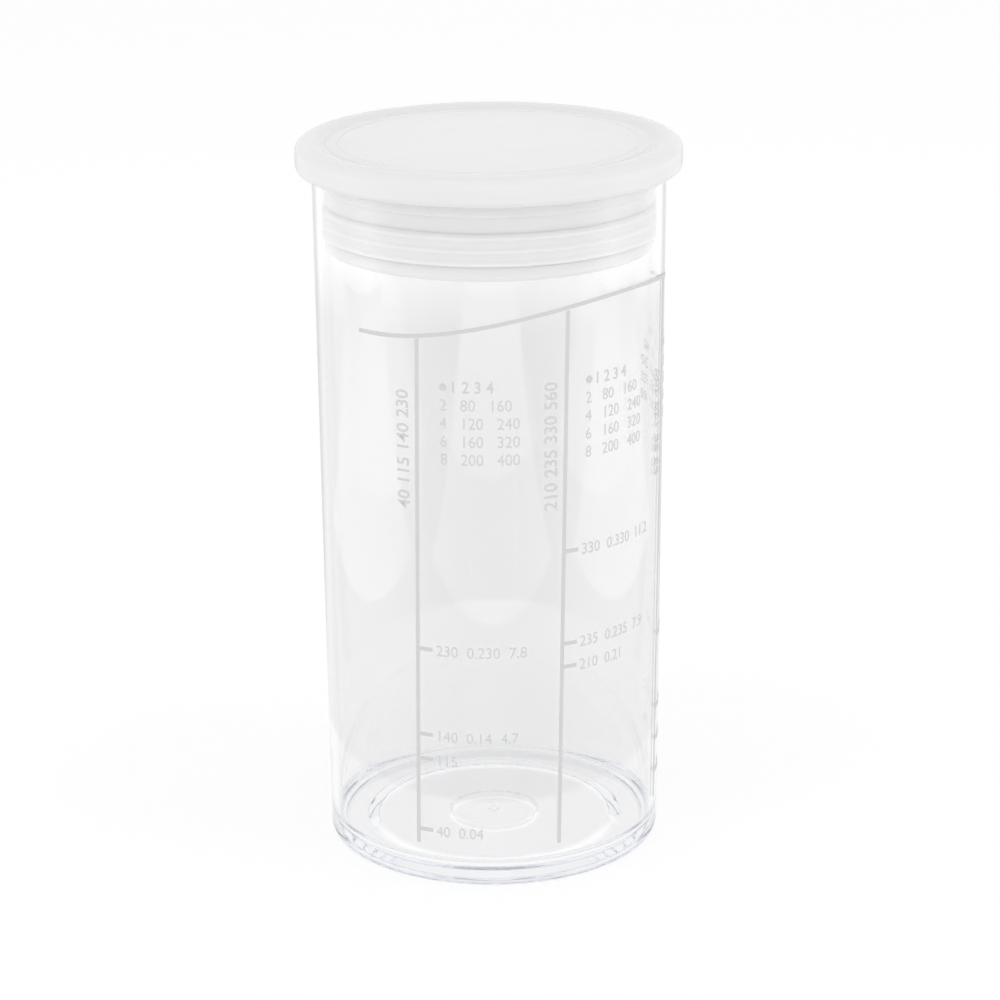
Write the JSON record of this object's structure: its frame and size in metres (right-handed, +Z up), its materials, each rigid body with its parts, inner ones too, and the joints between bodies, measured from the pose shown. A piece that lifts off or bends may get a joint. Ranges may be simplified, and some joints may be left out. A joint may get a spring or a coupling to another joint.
{
  "type": "salad dressing shaker bottle",
  "caption": "Clear tapered beaker with a printed measuring scale and a white push-in lid, whose groove takes the beaker's rim and whose plug carries a soft sleeve of sealing lips.",
  "frame": {"origin": "centre of the foot, on the surface that the bottle stands on", "axes": "+Z up along the axis of the beaker and the lid, -Y towards the printed scale, +X to the right of somebody who reads it"},
  "size_m": [0.0864, 0.0864, 0.165],
  "materials": {
    "clear_plastic": "clear, polished",
    "ink": "matt printed ink",
    "lid_plastic": "satin white",
    "seal": "soft, milky"
  },
  "bodies": {
    "beaker": {"beaker": "clear_plastic", "scale_print": "ink"},
    "lid": {"lid_cap": "lid_plastic", "lip_seal": "seal"}
  },
  "joints": [
    {"name": "lid_lift", "type": "slide", "parent": "beaker", "child": "lid", "axis": [0, 0, 1], "range_m": [0, 0.08]}
  ]
}
